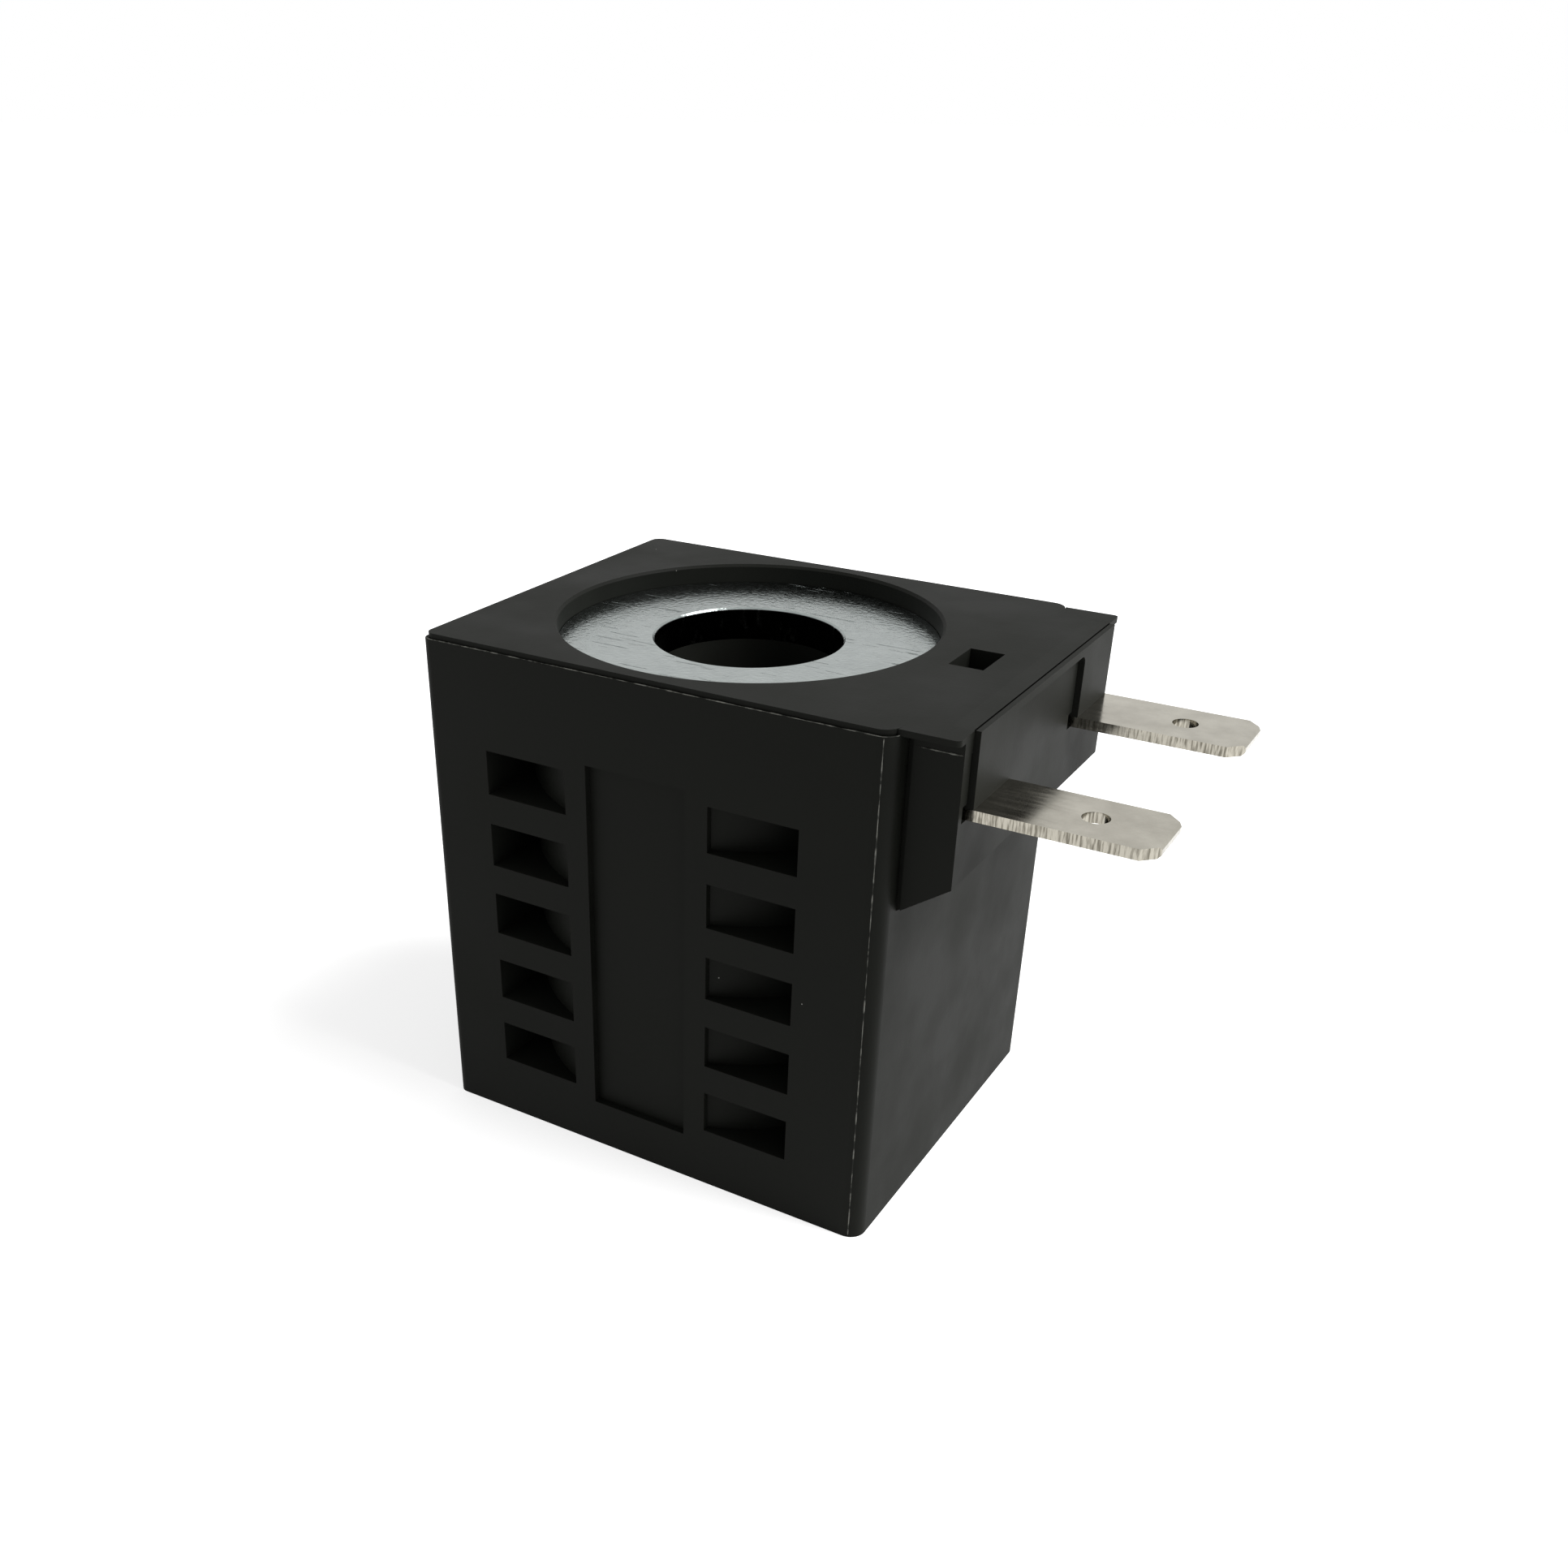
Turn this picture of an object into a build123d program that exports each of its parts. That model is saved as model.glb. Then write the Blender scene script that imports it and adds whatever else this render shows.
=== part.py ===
from build123d import *
import os
from math import sqrt

os.makedirs("parts", exist_ok=True)

# All sizes are in millimetres. Z is the bore axis with z = 0 at the bottom face, +X is the way
# the blades point, and -Y is the side with the label recess.

# Housing body
body_width = 32.8
rear_reach = 19.1
front_reach = 20.1
height = 41.5
front_corner_radius = 1.3
rear_corner_radius = 0.8
top_rebate_height = 0.45
top_rebate_depth = 0.2

# Terminal block on the front face
block_proud = 4.0
block_width = 29.0
block_root_drop = 13.7
block_face_drop = 10.9
root_groove_width = 0.45
root_groove_depth = 0.4

# Round recess on top
recess_depth = 1.5
recess_rim_chamfer = 0.2

# Coring windows that reach in to the round barrel
barrel_over_side = 0.6
window_inner = 6.2
window_outer = 13.5
window_height = 3.6
window_pitch = 6.1
window_first_sill = 5.2
window_rows = 5

# Label recess on the side face
label_width = 8.6
label_bottom = 4.1
label_top_drop = 7.5
label_depth = 0.6

# Core-pin hole on top, which ends on the terminal carrier
core_hole_from_web = 0.85
core_hole_length = 2.65
core_hole_width = 4.1

# Bore, washers and flux tube
bore_radius = 7.35
bore_edge_chamfer = 0.15
washer_cover = 1.1
washer_thickness = 2.6
washer_rim_chamfer = 0.5
tube_wall = 1.5
tube_seam = 0.6
tube_notch_margin = 0.5
insert_gap = 0.05

# Bobbin and its terminal carrier
bobbin_wall = 1.0
flange_thickness = 1.5
arm_width = 12.0
arm_gap = 0.15
web_from_washer = 1.3
carrier_thickness = 2.0
carrier_proud = 0.45
carrier_strip = 0.6
carrier_corner_radius = 0.7
carrier_seam = 0.15

# Blade terminals
blade_spacing = 20.0
blade_width = 6.3
blade_thickness = 0.8
blade_drop = 5.45
blade_projection = 12.2
blade_tip_chamfer = 1.1
blade_tip_bevel = 0.2
blade_hole_radius = 0.95
blade_hole_from_face = 7.2
blade_root_from_web = 1.9
tang_length = 1.6
tang_width = 2.0
foot_notch_width = 0.8
foot_notch_depth = 0.6
foot_notch_rise = 0.4

# Winding, tapes, leads and solder
winding_margin = 0.75
tape_thickness = 0.2
lead_layer = 0.5
lead_tape_thickness = 0.08
lead_tape_width = 2.0
wire_radius = 0.15
lead_offset = 3.5
lead_corner_from_washer = 0.7
lead_bend_radius = 1.2
finish_lead_inset = 0.65
start_lead_inset = 0.55
solder_radius = 0.8
solder_height = 0.65
solder_round = 0.3
solder_from_tang_end = 0.75
chamber_margin = 0.5
chamber_depth = 2.05

# Heights and places worked out from the sizes above
side_y = body_width / 2
washer_radius = side_y - washer_cover
pocket_radius = washer_radius + insert_gap
recess_radius = pocket_radius - washer_rim_chamfer
barrel_radius = side_y + barrel_over_side
tube_radius = washer_radius - insert_gap
flange_radius = tube_radius - tube_wall - insert_gap
winding_radius = flange_radius - winding_margin
core_radius = bore_radius + bobbin_wall
lower_washer_top = washer_thickness
upper_washer_top = height - recess_depth
upper_washer_bottom = upper_washer_top - washer_thickness
block_reach = front_reach + block_proud
block_root_height = height - block_root_drop
block_face_height = height - block_face_drop
label_top = height - label_top_drop
lower_flange_top = lower_washer_top + flange_thickness
upper_flange_bottom = upper_washer_bottom - flange_thickness
winding_top = upper_flange_bottom - lead_layer
blade_top = height - blade_drop
blade_bottom = blade_top - blade_thickness
chamber_floor = blade_top - chamber_depth
tube_notch_depth = upper_washer_bottom - chamber_floor + tube_notch_margin
web_start = washer_radius + web_from_washer
web_top = upper_washer_bottom
web_height = web_top - blade_top
core_hole_start = web_start + core_hole_from_web
blade_root = web_start + blade_root_from_web
lead_corner = washer_radius + lead_corner_from_washer
start_lead_start = core_radius + start_lead_inset
finish_lead_start = winding_radius - finish_lead_inset
web_width = blade_spacing + blade_width
carrier_face = block_reach + carrier_proud
carrier_back = carrier_face - carrier_thickness
blade_tip = carrier_face + blade_projection
tang_end = blade_root - tang_length
solder_x = tang_end + solder_from_tang_end
lead_end_z = blade_bottom - solder_height / 2
window_floor = sqrt(barrel_radius**2 - window_outer**2)
sides = {"left": -1, "right": 1}


def body_plan(inset):
    """Rectangle round the barrel with rounded corners, moved in by the inset on every side."""
    with BuildSketch() as plan:
        with Locations(((front_reach - rear_reach) / 2, 0)):
            Rectangle(front_reach + rear_reach - 2 * inset, body_width - 2 * inset)
        fillet(plan.vertices().group_by(Axis.X)[-1], front_corner_radius)
        fillet(plan.vertices().group_by(Axis.X)[0], rear_corner_radius)
    return plan.sketch


def carrier_outline(grow):
    """Inverted U: a leg as wide as each blade, joined by a strip along the top edge."""
    gap_top = height - carrier_strip - grow
    with BuildSketch() as outline:
        with Locations((0, (blade_top + height) / 2)):
            Rectangle(web_width + 2 * grow, height - blade_top)
        with Locations((0, (blade_top + gap_top) / 2)):
            Rectangle(blade_spacing - blade_width - 2 * grow, gap_top - blade_top, mode=Mode.SUBTRACT)
        fillet(outline.vertices().group_by(Axis.Y)[1], carrier_corner_radius)
    return outline.sketch


lower_plan = body_plan(0)
upper_plan = body_plan(top_rebate_depth)
carrier_shape = carrier_outline(0)
carrier_pocket = carrier_outline(carrier_seam)

# Cores that leave the windows: straight inward, ending on the round barrel
with BuildPart() as window_cores:
    for row in range(window_rows):
        with BuildSketch(Plane.XY.offset(window_first_sill + row * window_pitch)):
            with GridLocations(window_inner + window_outer, window_floor + body_width, 2, 2):
                Rectangle(window_outer - window_inner, body_width - window_floor)
            Circle(barrel_radius, mode=Mode.SUBTRACT)
        extrude(amount=window_height)

# Housing: one over-mould of glass-filled nylon round the magnetic circuit and the bobbin
with BuildPart() as housing:
    with BuildSketch():
        add(lower_plan)
    extrude(amount=height - top_rebate_height)
    with BuildSketch(Plane.XY.offset(height - top_rebate_height)):
        add(upper_plan)
    extrude(amount=top_rebate_height)

    # Terminal block with its sloping underside, and its top layer inside the rebate
    block_inside = front_reach - front_corner_radius
    with BuildSketch(Plane.XZ):
        with BuildLine():
            Polyline(
                (block_inside, block_root_height),
                (front_reach, block_root_height),
                (block_reach, block_face_height),
                (block_reach, height - top_rebate_height),
                (block_inside, height - top_rebate_height),
                close=True,
            )
        make_face()
    extrude(amount=block_width / 2, both=True)
    with BuildSketch(Plane.XY.offset(height - top_rebate_height)):
        with Locations(((block_inside + block_reach) / 2, 0)):
            Rectangle(block_reach - block_inside, block_width - 2 * top_rebate_depth)
    extrude(amount=top_rebate_height)

    # Round cavity for washers, tube and bobbin, closed over each washer's chamfered rim
    with BuildSketch(Plane.XZ):
        with BuildLine():
            Polyline(
                (0, 0),
                (recess_radius, 0),
                (pocket_radius, washer_rim_chamfer),
                (pocket_radius, upper_washer_top - washer_rim_chamfer),
                (recess_radius, upper_washer_top),
                (recess_radius, height - recess_rim_chamfer),
                (recess_radius + recess_rim_chamfer, height),
                (0, height),
                close=True,
            )
        make_face()
    revolve(axis=Axis.Z, mode=Mode.SUBTRACT)

    add(window_cores.part, mode=Mode.SUBTRACT)

    with BuildSketch(Plane.XZ.offset(side_y)):
        with Locations((0, (label_bottom + label_top) / 2)):
            Rectangle(label_width, label_top - label_bottom)
    extrude(amount=-label_depth, mode=Mode.SUBTRACT)

    with BuildSketch(Plane.XY.offset(height)):
        with Locations((core_hole_start + core_hole_length / 2, 0)):
            Rectangle(core_hole_length, core_hole_width)
    extrude(amount=web_top - height, mode=Mode.SUBTRACT)

    # Grooves where the block's side walls meet the front face
    with BuildSketch(Plane.XY.offset(block_root_height)):
        with GridLocations(2 * front_reach + root_groove_width, block_width - root_groove_depth, 2, 2):
            Rectangle(root_groove_width, root_groove_depth)
    extrude(amount=height - top_rebate_height - block_root_height, mode=Mode.SUBTRACT)

    # Space that the bobbin's arm, web and terminal carrier fill
    with BuildSketch(Plane.XY.offset(chamber_floor)):
        with Locations((web_start / 2, 0)):
            Rectangle(web_start, arm_width)
    extrude(amount=upper_washer_bottom - chamber_floor, mode=Mode.SUBTRACT)
    with BuildSketch(Plane.XY.offset(blade_top)):
        with Locations(((web_start + carrier_back) / 2, 0)):
            Rectangle(carrier_back - web_start, web_width)
    extrude(amount=web_height, mode=Mode.SUBTRACT)
    with BuildSketch(Plane.YZ.offset(block_reach)):
        add(carrier_pocket)
    extrude(amount=carrier_proud - carrier_thickness - carrier_seam, mode=Mode.SUBTRACT)

    # Space round the tangs, the leads and the solder, and the slots that hold the blades
    chamber_width = blade_spacing + 2 * solder_radius + 2 * chamber_margin
    with BuildSketch(Plane.XY.offset(chamber_floor)):
        with Locations(((blade_root + tube_radius) / 2, 0)):
            Rectangle(blade_root - tube_radius, chamber_width)
    extrude(amount=blade_top - chamber_floor, mode=Mode.SUBTRACT)
    for side in sides.values():
        with BuildSketch(Plane.XY.offset(blade_bottom)):
            with Locations(((blade_root + block_reach) / 2, side * blade_spacing / 2)):
                Rectangle(block_reach - blade_root, blade_width)
        extrude(amount=blade_thickness, mode=Mode.SUBTRACT)
        foot_y = side * blade_spacing / 2 - blade_width / 2 - foot_notch_width / 2
        with BuildSketch(Plane.XY.offset(blade_bottom)):
            with Locations((block_reach - foot_notch_depth / 2, foot_y)):
                Rectangle(foot_notch_depth, foot_notch_width)
        extrude(amount=blade_thickness + foot_notch_rise, mode=Mode.SUBTRACT)
housing.part.label = "housing"
export_step(housing.part, "parts/housing.step")

# Upper washer: zinc-plated steel, held by its chamfered rim at the floor of the recess
with BuildPart() as upper_flux_washer:
    with BuildSketch(Plane.XY.offset(upper_washer_bottom)):
        Circle(washer_radius)
        Circle(bore_radius, mode=Mode.SUBTRACT)
    extrude(amount=washer_thickness)
    upper_rings = upper_flux_washer.edges().filter_by(GeomType.CIRCLE).group_by(Axis.Z)[-1]
    chamfer(upper_rings.sort_by(SortBy.RADIUS)[-1], washer_rim_chamfer)
    chamfer(upper_rings.sort_by(SortBy.RADIUS)[0], bore_edge_chamfer)
upper_flux_washer.part.label = "upper_flux_washer"
export_step(upper_flux_washer.part, "parts/upper_flux_washer.step")

# Lower washer: its chamfered rim is held by the moulding, flush with the bottom face
with BuildPart() as lower_flux_washer:
    with BuildSketch():
        Circle(washer_radius)
        Circle(bore_radius, mode=Mode.SUBTRACT)
    extrude(amount=washer_thickness)
    lower_rings = lower_flux_washer.edges().filter_by(GeomType.CIRCLE).group_by(Axis.Z)[0]
    chamfer(lower_rings.sort_by(SortBy.RADIUS)[-1], washer_rim_chamfer)
lower_flux_washer.part.label = "lower_flux_washer"
export_step(lower_flux_washer.part, "parts/lower_flux_washer.step")

# Flux tube: rolled steel sheet with its seam at the rear and a notch for the bobbin's arm
with BuildPart() as flux_tube:
    with BuildSketch(Plane.XY.offset(lower_washer_top)):
        Circle(tube_radius)
        Circle(tube_radius - tube_wall, mode=Mode.SUBTRACT)
        with Locations((-tube_radius, 0)):
            Rectangle(4 * tube_wall, tube_seam, mode=Mode.SUBTRACT)
    extrude(amount=upper_washer_bottom - lower_washer_top)
    with BuildSketch(Plane.XY.offset(upper_washer_bottom)):
        with Locations((tube_radius, 0)):
            Rectangle(tube_radius, arm_width + 2 * arm_gap)
    extrude(amount=-tube_notch_depth, mode=Mode.SUBTRACT)
flux_tube.part.label = "flux_tube"
export_step(flux_tube.part, "parts/flux_tube.step")

# Bobbin: moulded nylon spool with an arm and web that end in the terminal carrier
with BuildPart() as bobbin:
    with BuildSketch(Plane.XZ):
        with BuildLine():
            Polyline(
                (bore_radius, lower_washer_top),
                (flange_radius, lower_washer_top),
                (flange_radius, lower_flange_top),
                (core_radius, lower_flange_top),
                (core_radius, upper_flange_bottom),
                (flange_radius, upper_flange_bottom),
                (flange_radius, upper_washer_bottom),
                (bore_radius, upper_washer_bottom),
                close=True,
            )
        make_face()
    revolve(axis=Axis.Z)
    with BuildSketch(Plane.XY.offset(upper_flange_bottom)):
        with Locations(((winding_radius + web_start) / 2 - arm_gap, 0)):
            Rectangle(web_start - winding_radius + 2 * arm_gap, arm_width - 2 * arm_gap)
    extrude(amount=flange_thickness)
    with BuildSketch(Plane.XY.offset(blade_top)):
        with Locations(((web_start + carrier_back) / 2, 0)):
            Rectangle(carrier_back - web_start, web_width)
    extrude(amount=web_height)
    with BuildSketch(Plane.YZ.offset(carrier_back)):
        add(carrier_shape)
    extrude(amount=carrier_thickness)
bobbin.part.label = "bobbin"
export_step(bobbin.part, "parts/bobbin.step")

# Winding: enamelled copper wire, taken as one ring of its wound size
with BuildPart() as winding:
    with BuildSketch(Plane.XY.offset(lower_flange_top)):
        Circle(winding_radius)
        Circle(core_radius + insert_gap, mode=Mode.SUBTRACT)
    extrude(amount=winding_top - lower_flange_top)
winding.part.label = "winding"
export_step(winding.part, "parts/winding.step")

# Winding tape: polyester film round the last layer
with BuildPart() as winding_tape:
    with BuildSketch(Plane.XY.offset(lower_flange_top)):
        Circle(winding_radius + insert_gap + tape_thickness)
        Circle(winding_radius + insert_gap, mode=Mode.SUBTRACT)
    extrude(amount=winding_top - lower_flange_top)
winding_tape.part.label = "winding_tape"
export_step(winding_tape.part, "parts/winding_tape.step")

# Start lead tape: keeps the start lead off the layers that it crosses
with BuildPart() as start_lead_tape:
    with BuildSketch(Plane.XY.offset(winding_top)):
        with Locations(((start_lead_start + winding_radius) / 2, -lead_offset)):
            Rectangle(winding_radius - start_lead_start, lead_tape_width)
    extrude(amount=lead_tape_thickness)
start_lead_tape.part.label = "start_lead_tape"
export_step(start_lead_tape.part, "parts/start_lead_tape.step")

# Leads: each lies on the winding's end, leaves through the notch and runs under its tang
lead_begin = {"left": start_lead_start, "right": finish_lead_start}
lead_lift = {"left": lead_tape_thickness, "right": 0}
lead_names = {"left": "start_lead", "right": "finish_lead"}
leads = {}
for name, side in sides.items():
    lead_z = winding_top + lead_lift[name] + wire_radius
    with BuildPart() as lead:
        with BuildLine() as route:
            FilletPolyline(
                (lead_begin[name], side * lead_offset, lead_z),
                (lead_corner, side * lead_offset, lead_z),
                (solder_x, side * blade_spacing / 2, lead_end_z),
                radius=lead_bend_radius,
            )
        with BuildSketch(Plane(origin=route.line @ 0, z_dir=route.line % 0)):
            Circle(wire_radius)
        sweep()
    lead.part.label = lead_names[name]
    export_step(lead.part, "parts/" + lead_names[name] + ".step")
    leads[name] = lead

# Blade terminals: tin-plated brass, pushed under the carrier, each with a tang for its lead
for name, side in sides.items():
    blade_y = side * blade_spacing / 2
    with BuildPart() as blade_terminal:
        with BuildSketch(Plane.XY.offset(blade_bottom)) as blade_plan:
            with Locations(((blade_root + blade_tip) / 2, blade_y)):
                Rectangle(blade_tip - blade_root, blade_width)
            chamfer(blade_plan.vertices().group_by(Axis.X)[-1], blade_tip_chamfer)
            with Locations(((tang_end + blade_root) / 2, blade_y)):
                Rectangle(tang_length, tang_width)
            with Locations((carrier_face + blade_hole_from_face, blade_y)):
                Circle(blade_hole_radius, mode=Mode.SUBTRACT)
        extrude(amount=blade_thickness)
        tip_edges = blade_terminal.edges().filter_by(Axis.Y).group_by(Axis.X)[-1]
        chamfer(tip_edges, blade_tip_bevel)
    blade_terminal.part.label = "blade_terminal_" + name
    export_step(blade_terminal.part, "parts/blade_terminal_" + name + ".step")

# Solder joints: each hangs under its tang and holds the end of the lead
for name, side in sides.items():
    with BuildPart() as solder_joint:
        with BuildSketch(Plane.XY.offset(blade_bottom)):
            with Locations((solder_x, side * blade_spacing / 2)):
                Circle(solder_radius)
        extrude(amount=-solder_height)
        fillet(solder_joint.edges().group_by(Axis.Z)[0], solder_round)
        add(leads[name].part, mode=Mode.SUBTRACT)
    solder_joint.part.label = "solder_joint_" + name
    export_step(solder_joint.part, "parts/solder_joint_" + name + ".step")
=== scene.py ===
import math

import bpy
import numpy as np
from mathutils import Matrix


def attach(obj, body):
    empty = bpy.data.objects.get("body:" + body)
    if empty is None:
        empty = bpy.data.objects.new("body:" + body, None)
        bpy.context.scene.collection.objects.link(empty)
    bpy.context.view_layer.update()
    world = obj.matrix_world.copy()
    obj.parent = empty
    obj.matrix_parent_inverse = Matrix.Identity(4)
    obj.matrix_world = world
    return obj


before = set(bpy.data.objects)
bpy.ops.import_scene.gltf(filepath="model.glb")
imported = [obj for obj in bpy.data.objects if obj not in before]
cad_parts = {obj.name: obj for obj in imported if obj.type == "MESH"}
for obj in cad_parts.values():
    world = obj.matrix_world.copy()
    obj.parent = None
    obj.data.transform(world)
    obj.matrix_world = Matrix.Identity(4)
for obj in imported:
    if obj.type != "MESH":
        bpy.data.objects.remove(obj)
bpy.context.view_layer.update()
MM = 0.001


# Enamelled copper winding and its two leads: self-bonding magnet wire wound on the bobbin.
# It is sealed inside the moulding, so only its bands of turns and warm lacquer colour matter.
def linear(hex_colour):
    """sRGB hex to linear: c / 12.92 below 0.04045, else ((c + 0.055) / 1.055) to the power 2.4."""
    parts = np.array([int(hex_colour[i:i + 2], 16) for i in (1, 3, 5)]) / 255
    low, high = parts / 12.92, ((parts + 0.055) / 1.055) ** 2.4
    return tuple(np.where(parts <= 0.04045, low, high)) + (1.0,)


def per(size_mm):
    """Pattern scale on Object coordinates, which are metres, for features of that many mm."""
    return 1000 / size_mm


def put(tree, kind, links=(), values=(), **settings):
    """Adds one node: settings are its own options, values and links go to its inputs by name or number."""
    made = tree.nodes.new("ShaderNode" + kind)
    for key, value in settings.items():
        setattr(made, key, value)
    for key, value in dict(values).items():
        made.inputs[key].default_value = value
    for key, socket in dict(links).items():
        tree.links.new(socket, made.inputs[key])
    return made


def new_finish(name, **constants):
    """A material with a Principled shader; constants are set on the shader's own sockets."""
    finish = bpy.data.materials.new(name)
    finish.use_nodes = True
    tree = finish.node_tree
    tree.nodes.clear()
    shader = put(tree, "BsdfPrincipled", values=[(k.replace("_", " "), v) for k, v in constants.items()])
    put(tree, "OutputMaterial", {"Surface": shader.outputs[0]})
    place = put(tree, "TexCoord")
    return finish, tree, shader, place.outputs["Object"]


def blend_colours(tree, factor, first, second):
    """Colour mix of two colours or sockets by a factor socket."""
    mixed = put(tree, "Mix", {0: factor}, data_type="RGBA")
    for index, colour in ((6, first), (7, second)):
        if isinstance(colour, str):
            mixed.inputs[index].default_value = linear(colour)
        else:
            tree.links.new(colour, mixed.inputs[index])
    return mixed.outputs[2]


def spread(tree, socket, low, high, to_low=0.0, to_high=1.0):
    """Maps the socket's stretch low to high onto to_low to to_high, held at both ends."""
    ends = {"From Min": low, "From Max": high, "To Min": to_low, "To Max": to_high}
    return put(tree, "MapRange", {"Value": socket}, ends).outputs[0]


def dress(finish, *nodes):
    """Gives the CAD nodes that finish in every material slot."""
    for node in nodes:
        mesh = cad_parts[node].data
        mesh.materials.clear()
        mesh.materials.append(finish)


# The wave pattern turns 20 radians a unit, so a band is about six pitches wide: single turns are
# too fine to show.
WIRE_PITCH = 0.3
WAVE_RADIANS = 20
RIDGE_DEPTH = 0.05

copper, tree, shader, place = new_finish("enamelled copper magnet wire", Metallic=1.0)
turns = put(tree, "TexWave", {"Vector": place},
            {"Scale": per(WIRE_PITCH) / WAVE_RADIANS, "Distortion": 0.3}, bands_direction="Z")
lacquer = blend_colours(tree, turns.outputs["Fac"], "#7a3413", "#c0703a")
tree.links.new(lacquer, shader.inputs["Base Color"])
tree.links.new(spread(tree, turns.outputs["Fac"], 0, 1, 0.42, 0.28), shader.inputs["Roughness"])
ridge = put(tree, "Bump", {"Height": turns.outputs["Fac"]},
            {"Strength": 0.6, "Distance": RIDGE_DEPTH * MM})
tree.links.new(ridge.outputs[0], shader.inputs["Normal"])
dress(copper, "winding", "start_lead", "finish_lead")


# Polyester film tape: yellow, glossy and a little wrinkled where it is drawn round the winding.
# A strip of the same film lies under the start lead.
WRINKLE = 3.0
CREASE_DEPTH = 0.08

film, tree, shader, place = new_finish("polyester film tape", Roughness=0.22, IOR=1.6)
wrinkle = put(tree, "TexNoise", {"Vector": place}, {"Scale": per(WRINKLE), "Detail": 4.0})
film_colour = blend_colours(tree, wrinkle.outputs["Fac"], "#b98a16", "#dcb234")
tree.links.new(film_colour, shader.inputs["Base Color"])
crease = put(tree, "Bump", {"Height": wrinkle.outputs["Fac"]},
             {"Strength": 0.4, "Distance": CREASE_DEPTH * MM})
tree.links.new(crease.outputs[0], shader.inputs["Normal"])
dress(film, "winding_tape", "start_lead_tape")


# Solder: a small bright fillet under each tang, frozen with a faint grain.
# It holds the lead's end and is sealed in by the moulding.
FROST = 0.2

solder, tree, shader, place = new_finish("tin solder", Metallic=1.0)
frost = put(tree, "TexNoise", {"Vector": place}, {"Scale": per(FROST), "Detail": 3.0})
tree.links.new(blend_colours(tree, frost.outputs["Fac"], "#a9a9a6", "#d6d6d2"), shader.inputs["Base Color"])
tree.links.new(spread(tree, frost.outputs["Fac"], 0.3, 0.7, 0.2, 0.4), shader.inputs["Roughness"])
dress(solder, "solder_joint_left", "solder_joint_right")


# Flux tube: low-carbon steel sheet rolled round the winding, oiled and left unplated.
# Rolling leaves fine lines round the tube.
ROLLING = 4.0
ROLLING_SQUEEZE = 12.0

sheet_steel, tree, shader, place = new_finish("rolled mild steel sheet", Metallic=1.0)
squeeze = put(tree, "Mapping", {"Vector": place}, {"Scale": (1.0, 1.0, ROLLING_SQUEEZE)})
rolling = put(tree, "TexNoise", {"Vector": squeeze.outputs[0]}, {"Scale": per(ROLLING), "Detail": 5.0})
sheet_colour = blend_colours(tree, rolling.outputs["Fac"], "#6c6a66", "#9a9894")
tree.links.new(sheet_colour, shader.inputs["Base Color"])
tree.links.new(spread(tree, rolling.outputs["Fac"], 0.3, 0.7, 0.3, 0.5), shader.inputs["Roughness"])
dress(sheet_steel, "flux_tube")


# Flux washers: stamped mild steel, zinc plated. The plating is satin and faintly blue, with a few
# hair scratches on the face and a pitted skin. The wall of the bore is painted near black as shade
# inside the bore, with paler drag marks down it.
BORE_RADIUS = 7.35
WALL_MARGIN = 0.05
BLOOM = 1.4
GRIT = 0.35
HAIR = 6.0
HAIR_SQUEEZE = 14.0
HAIR_LIES = ((0.5, 0.9), (1.9, 1.3), (-0.6, 1.1))
DRAG = 0.7
DRAG_SQUEEZE = 0.35
PIT_DEPTH = 0.05

zinc, tree, shader, place = new_finish("zinc plated steel, satin", Metallic=1.0)
bloom = put(tree, "TexNoise", {"Vector": place}, {"Scale": per(BLOOM), "Detail": 6.0, "Roughness": 0.65})
grit = put(tree, "TexNoise", {"Vector": place}, {"Scale": per(GRIT), "Detail": 3.0})
face_colour = blend_colours(tree, spread(tree, bloom.outputs["Fac"], 0.3, 0.7), "#8f9694", "#9ca3a1")
scratches = []
for turn, wide in HAIR_LIES:
    lie = put(tree, "Mapping", {"Vector": place},
              {"Rotation": (0.0, 0.0, turn), "Scale": (1.0, HAIR_SQUEEZE, 1.0)})
    hair = put(tree, "TexNoise", {"Vector": lie.outputs[0]}, {"Scale": per(HAIR * wide), "Detail": 6.0})
    scratches.append(spread(tree, hair.outputs["Fac"], 0.67, 0.7))
scratch = put(tree, "Math", {0: scratches[0], 1: scratches[1]}, operation="MAXIMUM")
scratch = put(tree, "Math", {0: scratch.outputs[0], 1: scratches[2]}, operation="MAXIMUM").outputs[0]
flat_place = put(tree, "Mapping", {"Vector": place}, {"Scale": (1.0, 1.0, 0.0)})
reach = put(tree, "VectorMath", {0: flat_place.outputs[0]}, operation="LENGTH").outputs["Value"]
shaded_bore_wall = spread(tree, reach, (BORE_RADIUS + WALL_MARGIN) * MM, BORE_RADIUS * MM)
marked = blend_colours(tree, scratch, face_colour, "#848b89")
drag_lie = put(tree, "Mapping", {"Vector": place}, {"Scale": (1.0, 1.0, DRAG_SQUEEZE)})
drag = put(tree, "TexNoise", {"Vector": drag_lie.outputs[0]}, {"Scale": per(DRAG), "Detail": 5.0})
drag_fac = spread(tree, drag.outputs["Fac"], 0.6, 0.76)
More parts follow.
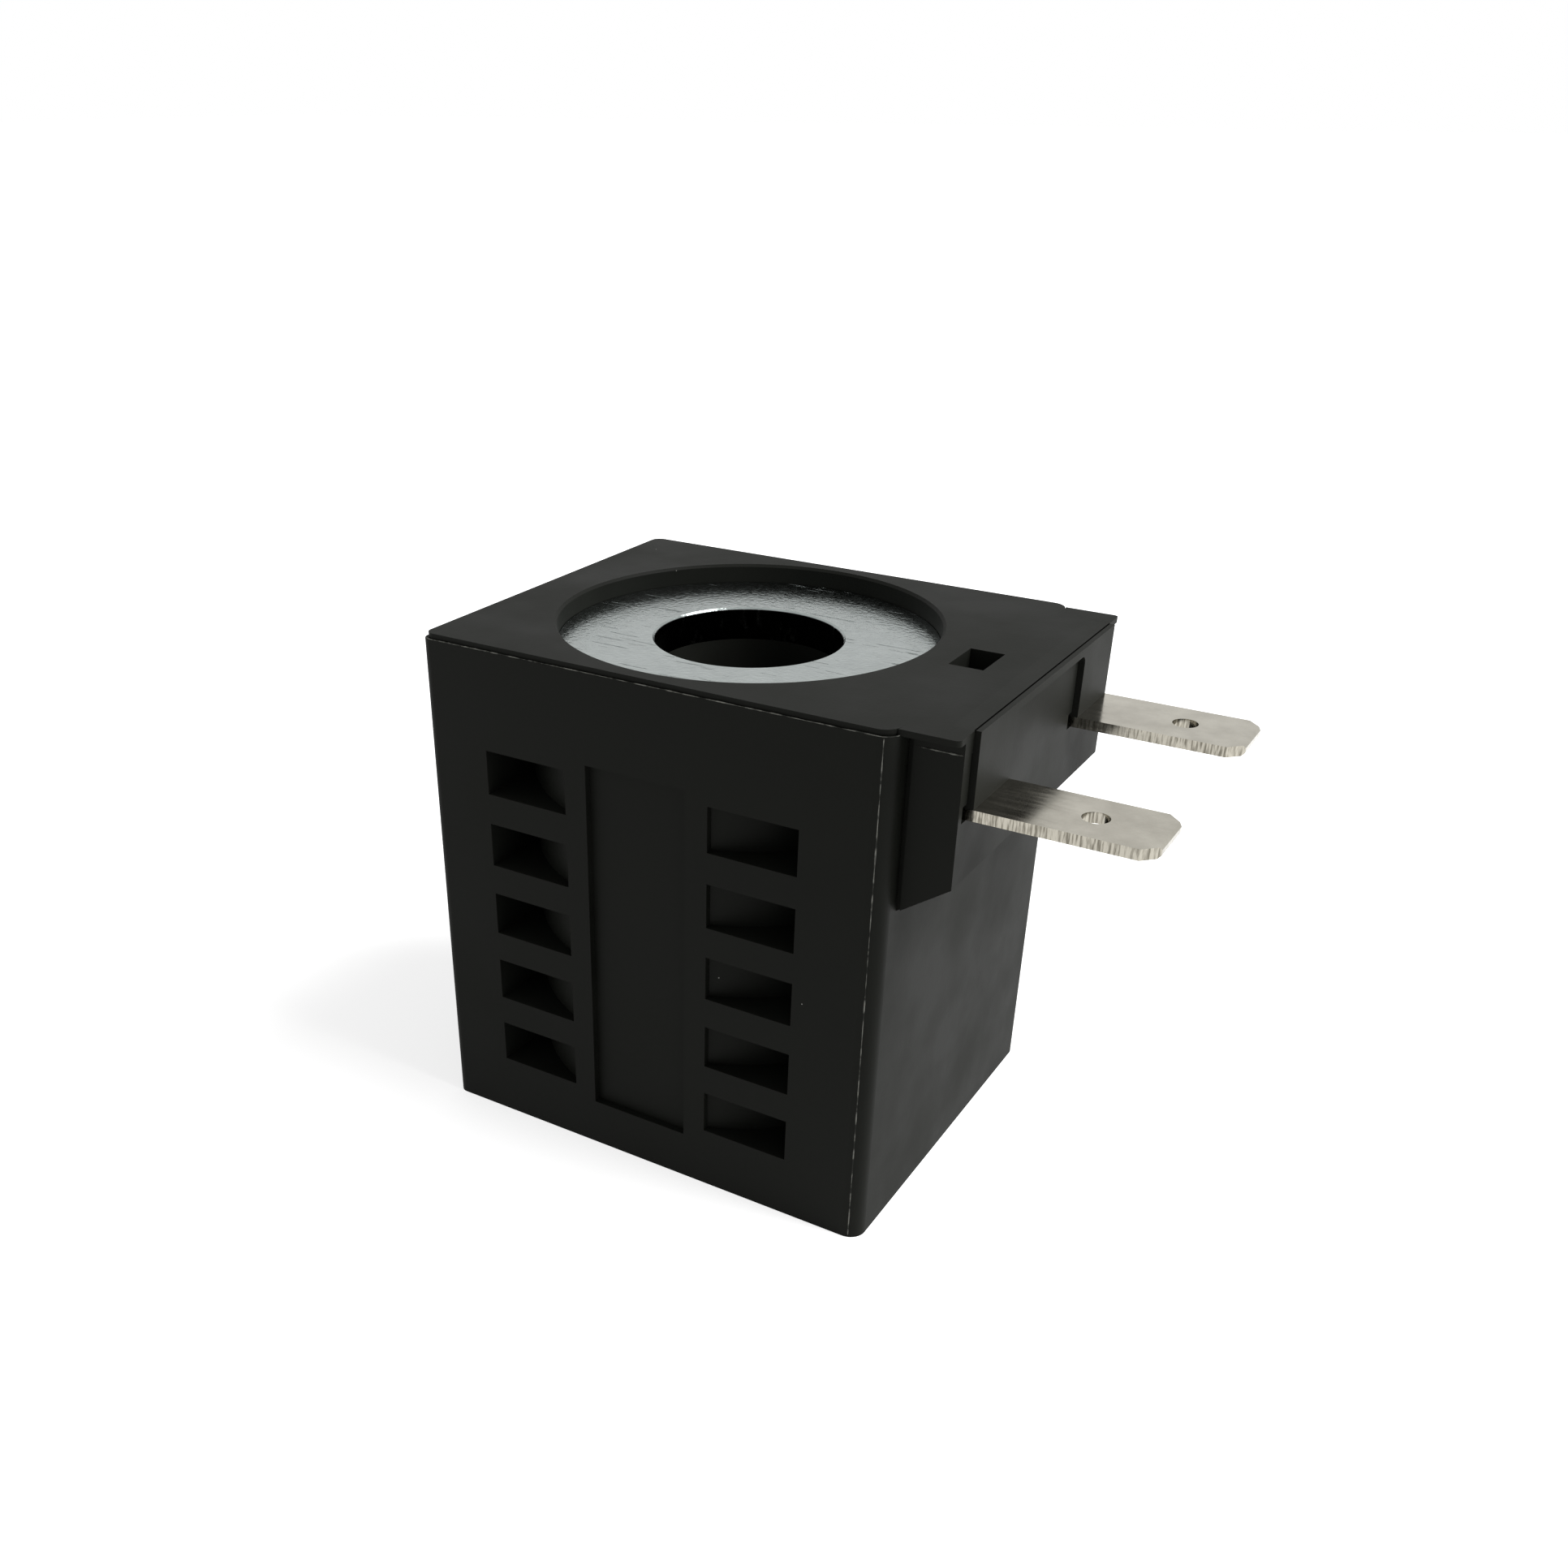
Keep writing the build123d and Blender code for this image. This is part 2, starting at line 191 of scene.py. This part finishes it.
# Painted shade: the bore wall is near black, with paler drag marks where the drag pattern is high.
bore_shade_and_drag_colour = blend_colours(tree, drag_fac, "#191a19", "#8c8f8e")
tree.links.new(blend_colours(tree, shaded_bore_wall, marked, bore_shade_and_drag_colour), shader.inputs["Base Color"])
satin = spread(tree, grit.outputs["Fac"], 0.3, 0.7, 0.14, 0.24)
tree.links.new(satin, shader.inputs["Roughness"])
dent = put(tree, "Math", {0: grit.outputs["Fac"], 1: scratch}, operation="SUBTRACT")
skin = put(tree, "Bump", {"Height": dent.outputs[0]}, {"Strength": 0.7, "Distance": PIT_DEPTH * MM})
tree.links.new(skin.outputs[0], shader.inputs["Normal"])
dress(zinc, "upper_flux_washer", "lower_flux_washer")


# Blade terminals: brass strip, tin plated, then stamped. The faces keep fine rolling lines and
# handling marks; the sheared edges show upright tear marks.
ROLL_LINE = 0.5
ROLL_SQUEEZE = 0.12
STAIN = 2.6
TEAR = 0.16
TEAR_SQUEEZE = 0.12
LINE_DEPTH = 0.01

tin, tree, shader, place = new_finish("tin plated brass, stamped", Metallic=1.0)
roll = put(tree, "Mapping", {"Vector": place}, {"Scale": (ROLL_SQUEEZE, 1.0, 1.0)})
lines = put(tree, "TexNoise", {"Vector": roll.outputs[0]}, {"Scale": per(ROLL_LINE), "Detail": 5.0})
stain = put(tree, "TexNoise", {"Vector": place}, {"Scale": per(STAIN), "Detail": 5.0, "Roughness": 0.6})
face_tin = blend_colours(tree, spread(tree, stain.outputs["Fac"], 0.35, 0.68), "#a29e92", "#b6b2a6")
tear_lie = put(tree, "Mapping", {"Vector": place}, {"Scale": (1.0, 1.0, TEAR_SQUEEZE)})
tears = put(tree, "TexNoise", {"Vector": tear_lie.outputs[0]}, {"Scale": per(TEAR), "Detail": 4.0})
edge_tin = blend_colours(tree, spread(tree, tears.outputs["Fac"], 0.36, 0.56), "#68645a", "#a29e93")
facing = put(tree, "TexCoord").outputs["Normal"]
across = put(tree, "SeparateXYZ", {0: facing}).outputs["Z"]
upright = put(tree, "Math", {0: across}, operation="ABSOLUTE").outputs[0]
edge_mask = spread(tree, upright, 0.6, 0.3)
tree.links.new(blend_colours(tree, edge_mask, face_tin, edge_tin), shader.inputs["Base Color"])
tree.links.new(spread(tree, lines.outputs["Fac"], 0.3, 0.7, 0.12, 0.24), shader.inputs["Roughness"])
rolled = put(tree, "Bump", {"Height": lines.outputs["Fac"]},
             {"Strength": 0.12, "Distance": LINE_DEPTH * MM})
tree.links.new(rolled.outputs[0], shader.inputs["Normal"])
dress(tin, "blade_terminal_left", "blade_terminal_right")


# Bobbin and housing: black glass-filled nylon. The mould leaves a satin skin with a fine glassy
# grain, slow cloudy changes of gloss and some pale dust that clings to it.
NYLON_IOR = 1.4
NYLON_SPECULAR = 0.09
GRAIN = 0.22
GRAIN_DEPTH = 0.02
CLOUD = 8.0
DUST_SPACING = 2.4
DUST_RADIUS = 0.07
DUST_CHANCE = (0.86, 0.87)


def moulded_nylon(name, dark, light):
    """Black nylon skin: cloudy colour and gloss, fine grain in the bump, sparse pale dust specks."""
    finish, tree, shader, place = new_finish(name, IOR=NYLON_IOR, Specular_IOR_Level=NYLON_SPECULAR)
    cloud = put(tree, "TexNoise", {"Vector": place}, {"Scale": per(CLOUD), "Detail": 5.0})
    grain = put(tree, "TexNoise", {"Vector": place}, {"Scale": per(GRAIN), "Detail": 4.0})
    cells = put(tree, "TexVoronoi", {"Vector": place}, {"Scale": per(DUST_SPACING)})
    speck = DUST_RADIUS / DUST_SPACING
    near = spread(tree, cells.outputs["Distance"], speck, 0.5 * speck)
    chance = put(tree, "SeparateColor", {0: cells.outputs["Color"]}).outputs[0]
    chosen = spread(tree, chance, *DUST_CHANCE)
    dust = put(tree, "Math", {0: near, 1: chosen}, operation="MULTIPLY").outputs[0]
    plain = blend_colours(tree, spread(tree, cloud.outputs["Fac"], 0.35, 0.65), dark, light)
    tree.links.new(blend_colours(tree, dust, plain, "#c9c9c2"), shader.inputs["Base Color"])
    tree.links.new(spread(tree, cloud.outputs["Fac"], 0.35, 0.65, 0.5, 0.62), shader.inputs["Roughness"])
    skin = put(tree, "Bump", {"Height": grain.outputs["Fac"]},
               {"Strength": 0.25, "Distance": GRAIN_DEPTH * MM})
    tree.links.new(skin.outputs[0], shader.inputs["Normal"])
    return finish


bobbin_nylon = moulded_nylon("black nylon, glass filled, bobbin", "#151613", "#1c1d1a")
dress(bobbin_nylon, "bobbin")
housing_nylon = moulded_nylon("black nylon, glass filled, housing", "#121310", "#191a17")
dress(housing_nylon, "housing")


# Mould flash: a thin ragged bead of the same nylon, squeezed out along the parting line under the
# top edge, down both front corners and along the block's sides. Its pale grey is painted highlight,
# standing in for the light the parting edge catches.
BODY_SIDE = 16.4
BODY_REAR = 19.1
BODY_FRONT = 20.1
BLOCK_SIDE = 14.5
BLOCK_FRONT = 24.1
PARTING_HEIGHT = 41.05
FRONT_ROUND = 1.3
REAR_ROUND = 0.8
BLOCK_PARTING = 40.2
GROOVE_END = 20.6
FLASH_RADIUS = 0.05
FLASH_INSET = 1.4 * FLASH_RADIUS
FLASH_OFFSET = 0.3 * FLASH_RADIUS
FLASH_ANGLE = 20.0
FLASH_STEP = 0.25
FLASH_SIDES = 6
FLASH_SMOOTHING = 5
FLASH_THINNEST = 0.25
FLASH_SWELL = 1.1
FLASH_TIP = 0.02
FLAKE = 0.8


def corner(centre_x, centre_y, radius, start, end):
    """Arc of a plan corner: centre + radius * (cos a, sin a), with a from start to end in degrees."""
    angles = np.radians(np.linspace(start, end, 9))
    return np.column_stack([centre_x + radius * np.cos(angles), centre_y + radius * np.sin(angles)])


def even_steps(points, step):
    """The polyline walked at even steps: each coordinate interpolated over the length so far."""
    lengths = np.concatenate([[0], np.cumsum(np.linalg.norm(np.diff(points, axis=0), axis=1))])
    walk = np.linspace(0, lengths[-1], int(lengths[-1] / step) + 1)
    return np.column_stack([np.interp(walk, lengths, points[:, axis]) for axis in range(3)])


def new_piece(name, points, faces):
    """A mesh of points in millimetres and their faces, on an object at the origin."""
    mesh = bpy.data.meshes.new(name)
    mesh.from_pydata((points * MM).tolist(), [], faces)
    mesh.update()
    piece = bpy.data.objects.new(name, mesh)
    bpy.context.scene.collection.objects.link(piece)
    return piece


def flash_bead(name, route, up, rng):
    """Tube on a route: point(s, a) = route(s) + r(s) * (cos a * side + sin a * up).

    r(s) is random noise, smoothed by a moving mean.
    """
    points = even_steps(np.array(route, float), FLASH_STEP)
    along = np.gradient(points, axis=0)
    along /= np.linalg.norm(along, axis=1)[:, None]
    side = np.cross(np.array(up, float), along)
    side /= np.linalg.norm(side, axis=1)[:, None]
    lift = np.cross(along, side)
    noise = rng.random(len(points) + FLASH_SMOOTHING - 1)
    ragged = np.convolve(noise, np.ones(FLASH_SMOOTHING) / FLASH_SMOOTHING, "valid")
    radius = FLASH_RADIUS * (FLASH_THINNEST + FLASH_SWELL * (ragged - ragged.min()) / np.ptp(ragged))
    radius[[0, -1]] = FLASH_RADIUS * FLASH_TIP
    angles = np.linspace(0, 2 * np.pi, FLASH_SIDES, endpoint=False)
    ring = np.cos(angles)[None, :, None] * side[:, None] + np.sin(angles)[None, :, None] * lift[:, None]
    grid = points[:, None] + radius[:, None, None] * ring
    rows, cols = len(points), FLASH_SIDES
    first = (np.arange(rows - 1)[:, None] * cols + np.arange(cols)).ravel()
    second = (np.arange(rows - 1)[:, None] * cols + (np.arange(cols) + 1) % cols).ravel()
    quads = np.column_stack([first, second, second + cols, first + cols])
    caps = [list(range(cols))[::-1], list(range((rows - 1) * cols, rows * cols))]
    return new_piece(name, grid.reshape(-1, 3), quads.tolist() + caps)


plan = np.vstack([
    [[BODY_FRONT - FLASH_INSET, -BLOCK_SIDE + FLASH_INSET]],
    corner(BODY_FRONT - FRONT_ROUND, -BODY_SIDE + FRONT_ROUND, FRONT_ROUND - FLASH_INSET, 0, -90),
    corner(REAR_ROUND - BODY_REAR, -BODY_SIDE + REAR_ROUND, REAR_ROUND - FLASH_INSET, -90, -180),
    corner(REAR_ROUND - BODY_REAR, BODY_SIDE - REAR_ROUND, REAR_ROUND - FLASH_INSET, 180, 90),
    corner(BODY_FRONT - FRONT_ROUND, BODY_SIDE - FRONT_ROUND, FRONT_ROUND - FLASH_INSET, 90, 0),
    [[BODY_FRONT - FLASH_INSET, BLOCK_SIDE - FLASH_INSET]],
])
rng = np.random.default_rng(7)
# Painted highlight: the bead is mottled from dark to pale grey, much paler than the nylon skin.
flash_highlight_finish, tree, shader, place = new_finish("nylon flash with painted highlight", IOR=NYLON_IOR, Roughness=0.6,
                                         Specular_IOR_Level=NYLON_SPECULAR)
flake = put(tree, "TexNoise", {"Vector": place}, {"Scale": per(FLAKE), "Detail": 4.0})
flash_highlight_colour = blend_colours(tree, spread(tree, flake.outputs["Fac"], 0.4, 0.6), "#2c2d2a", "#7c7c76")
tree.links.new(flash_highlight_colour, shader.inputs["Base Color"])
top_route = np.column_stack([plan, np.full(len(plan), PARTING_HEIGHT + FLASH_OFFSET)])
beads = [flash_bead("parting_flash_top", top_route, (0, 0, 1), rng)]
lean = math.radians(FLASH_ANGLE)
corner_reach = FRONT_ROUND - FLASH_OFFSET
flash_x = BODY_FRONT - FRONT_ROUND + corner_reach * math.sin(lean)
for name, side_sign in (("left", -1), ("right", 1)):
    flash_y = side_sign * (BODY_SIDE - FRONT_ROUND + corner_reach * math.cos(lean))
    upright_route = [(flash_x, flash_y, 2 * FLASH_RADIUS), (flash_x, flash_y, PARTING_HEIGHT)]
    beads.append(flash_bead("parting_flash_" + name, upright_route, (1, 0, 0), rng))
for name, side_sign in (("left", -1), ("right", 1)):
    block_y = side_sign * (BLOCK_SIDE + FLASH_OFFSET)
    block_route = [(GROOVE_END, block_y, BLOCK_PARTING), (BLOCK_FRONT - FLASH_INSET, block_y, BLOCK_PARTING)]
    beads.append(flash_bead("block_flash_" + name, block_route, (0, 0, 1), rng))
for bead in beads:
    bead.data.materials.append(flash_highlight_finish)
    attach(bead, "root")


# Top lips: the nylon's top layer overhangs the side walls of the terminal block by a millimetre.
# They are moulded with the housing, and throw a dark shadow line on the block's sides.
TOP = 41.5
LAYER_INSET = 0.2
LIP_SIDE = 15.5
LIP_ROUND = 0.4


def slab(name, outline, low, high, finish):
    """Plate: the plan outline, which runs anticlockwise, carried straight up from low to high."""
    count = len(outline)
    flat = np.array(outline, float)
    ends = [np.column_stack([flat, np.full(count, level)]) for level in (low, high)]
    here = np.arange(count)
    after = (here + 1) % count
    walls = np.column_stack([here, after, after + count, here + count]).tolist()
    caps = [here[::-1].tolist(), (here + count).tolist()]
    piece = new_piece(name, np.vstack(ends), walls + caps)
    piece.data.materials.append(finish)
    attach(piece, "root")


layer_front = BODY_FRONT - LAYER_INSET
layer_round = FRONT_ROUND - LAYER_INSET
lip_rise = LIP_SIDE - (BODY_SIDE - FRONT_ROUND)
lip_start = BODY_FRONT - FRONT_ROUND + math.sqrt(layer_round ** 2 - lip_rise ** 2)
lip = np.vstack([
    [[layer_front, BLOCK_SIDE - LAYER_INSET], [BLOCK_FRONT, BLOCK_SIDE - LAYER_INSET]],
    corner(BLOCK_FRONT - LIP_ROUND, LIP_SIDE - LIP_ROUND, LIP_ROUND, 0, 90),
    [[lip_start, LIP_SIDE], [layer_front, BODY_SIDE - FRONT_ROUND]],
])
slab("top_lip_right", lip, PARTING_HEIGHT, TOP, housing_nylon)
slab("top_lip_left", (lip * [1, -1])[::-1], PARTING_HEIGHT, TOP, housing_nylon)


# Carrier seam: the moulding wraps over the terminal carrier, so its upper gap is closed with nylon
# and only a thin dark line shows, where the carrier stands proud of the block's front edge. That
# line is painted shade: a matt black strip laid on the top in place of the seam's shadow.
GAP_BACK = 22.4
CARRIER_BACK = 22.55
CARRIER_SIDE = 13.15
GAP_SIDE = 13.3
CLOSED_FROM = 40.0
LINE_WIDTH = 0.12
LINE_STAND = 0.005
SHADE_MOTTLE = 0.5

closure = [(BLOCK_FRONT, -GAP_SIDE), (BLOCK_FRONT, -CARRIER_SIDE), (CARRIER_BACK, -CARRIER_SIDE),
           (CARRIER_BACK, CARRIER_SIDE), (BLOCK_FRONT, CARRIER_SIDE), (BLOCK_FRONT, GAP_SIDE),
           (GAP_BACK, GAP_SIDE), (GAP_BACK, -GAP_SIDE)]
slab("carrier_closure", closure, CLOSED_FROM, TOP, housing_nylon)
# Painted shade: matt, near black and without gloss, so the strip reads as the seam's shadow.
seam_shade_paint, tree, shader, place = new_finish("painted shade in the carrier seam", Roughness=0.95, Specular_IOR_Level=0.0)
shade_mottle = put(tree, "TexNoise", {"Vector": place}, {"Scale": per(SHADE_MOTTLE), "Detail": 3.0})
tree.links.new(blend_colours(tree, shade_mottle.outputs["Fac"], "#020202", "#0a0a09"), shader.inputs["Base Color"])
line_ends = ((BLOCK_FRONT - LINE_WIDTH / 2, -CARRIER_SIDE), (BLOCK_FRONT + LINE_WIDTH / 2, -CARRIER_SIDE),
             (BLOCK_FRONT + LINE_WIDTH / 2, CARRIER_SIDE), (BLOCK_FRONT - LINE_WIDTH / 2, CARRIER_SIDE))
slab("carrier_seam_shade_line", line_ends, TOP - LINE_WIDTH, TOP + LINE_STAND, seam_shade_paint)


# Studio: a pale seamless floor that reads white to the camera and in the metal, with one large
# soft light high on the terminal side, so the side with the windows stays dark.
FLOOR_HALF = 3.0
PAPER = "#e8e8e8"
GLOW_NEAR = 0.05
GLOW_FAR = 0.2
GLOW_UNDER = 0.68
AMBIENT = 0.3
MIDDLE = (0.005, 0.0, 0.02)
KEY_PLACE = (0.45, 0.15, 0.55)
KEY_SIZE = 0.4
KEY_POWER = 6.0


def seen_directly(tree):
    """1 for camera, glossy and transmission rays, which are the ones that show the background."""
    rays = put(tree, "LightPath").outputs
    some = put(tree, "Math", {0: rays["Is Camera Ray"], 1: rays["Is Glossy Ray"]}, operation="MAXIMUM")
    seen = put(tree, "Math", {0: some.outputs[0], 1: rays["Is Transmission Ray"]}, operation="MAXIMUM")
    return seen.outputs[0]


floor_mesh = bpy.data.meshes.new("floor")
floor_mesh.from_pydata([(x, y, 0) for x, y in ((-FLOOR_HALF, -FLOOR_HALF), (FLOOR_HALF, -FLOOR_HALF),
                                               (FLOOR_HALF, FLOOR_HALF), (-FLOOR_HALF, FLOOR_HALF))],
                       [], [(0, 1, 2, 3)])
floor = bpy.data.objects.new("floor", floor_mesh)
bpy.context.scene.collection.objects.link(floor)
paper = bpy.data.materials.new("white paper sweep")
paper.use_nodes = True
tree = paper.node_tree
tree.nodes.clear()
matt = put(tree, "BsdfDiffuse", values={"Color": linear(PAPER)})
outward = put(tree, "VectorMath", {0: put(tree, "TexCoord").outputs["Object"]}, operation="LENGTH")
glow = spread(tree, outward.outputs["Value"], GLOW_NEAR, GLOW_FAR, GLOW_UNDER, 1.0)
glow_seen = put(tree, "Math", {0: glow, 1: seen_directly(tree)}, operation="MULTIPLY")
lifted = put(tree, "Emission", {"Strength": glow_seen.outputs[0]})
both = put(tree, "AddShader", {0: matt.outputs[0], 1: lifted.outputs[0]})
put(tree, "OutputMaterial", {"Surface": both.outputs[0]})
floor_mesh.materials.append(paper)

world = bpy.data.worlds.new("studio")
world.use_nodes = True
bpy.context.scene.world = world
tree = world.node_tree
tree.nodes.clear()
level = spread(tree, seen_directly(tree), 0, 1, AMBIENT, 1.0)
sky = put(tree, "Background", {"Strength": level}, {"Color": (1.0, 1.0, 1.0, 1.0)})
put(tree, "OutputWorld", {"Surface": sky.outputs[0]})


def soft_light(name, place, aim, size, power):
    """Square area light at a place in metres, turned to face the aim."""
    lamp = bpy.data.lights.new(name, "AREA")
    lamp.size = size
    lamp.energy = power
    holder = bpy.data.objects.new(name, lamp)
    holder.location = place
    away = np.array(place) - np.array(aim)
    flat = math.hypot(away[0], away[1])
    holder.rotation_euler = (math.atan2(flat, away[2]), 0, math.atan2(away[0], -away[1]))
    bpy.context.scene.collection.objects.link(holder)


soft_light("key", KEY_PLACE, MIDDLE, KEY_SIZE, KEY_POWER)


# Camera: a pinhole fitted to the photograph's edges together with the coil's sizes. Its place is
# in millimetres from the centre of the bore at the bottom face, and its angles are in degrees.
CAMERA_PLACE = (57.09, -101.64, 77.34)
CAMERA_AZIMUTH = 32.11
CAMERA_ELEVATION = 30.58
CAMERA_LENS = 35.21
CAMERA_SENSOR = 36.0
CAMERA_SHIFT = (0.0689, 0.1278)
CAMERA_NEAREST = 0.005

lens = bpy.data.cameras.new("camera")
lens.lens = CAMERA_LENS
lens.sensor_width = CAMERA_SENSOR
lens.shift_x, lens.shift_y = CAMERA_SHIFT
lens.clip_start = CAMERA_NEAREST
camera = bpy.data.objects.new("camera", lens)
camera.location = np.array(CAMERA_PLACE) * MM
camera.rotation_euler = (math.radians(90 - CAMERA_ELEVATION), 0, math.radians(CAMERA_AZIMUTH))
bpy.context.scene.collection.objects.link(camera)
bpy.context.scene.camera = camera
bpy.context.scene.view_settings.view_transform = "Standard"
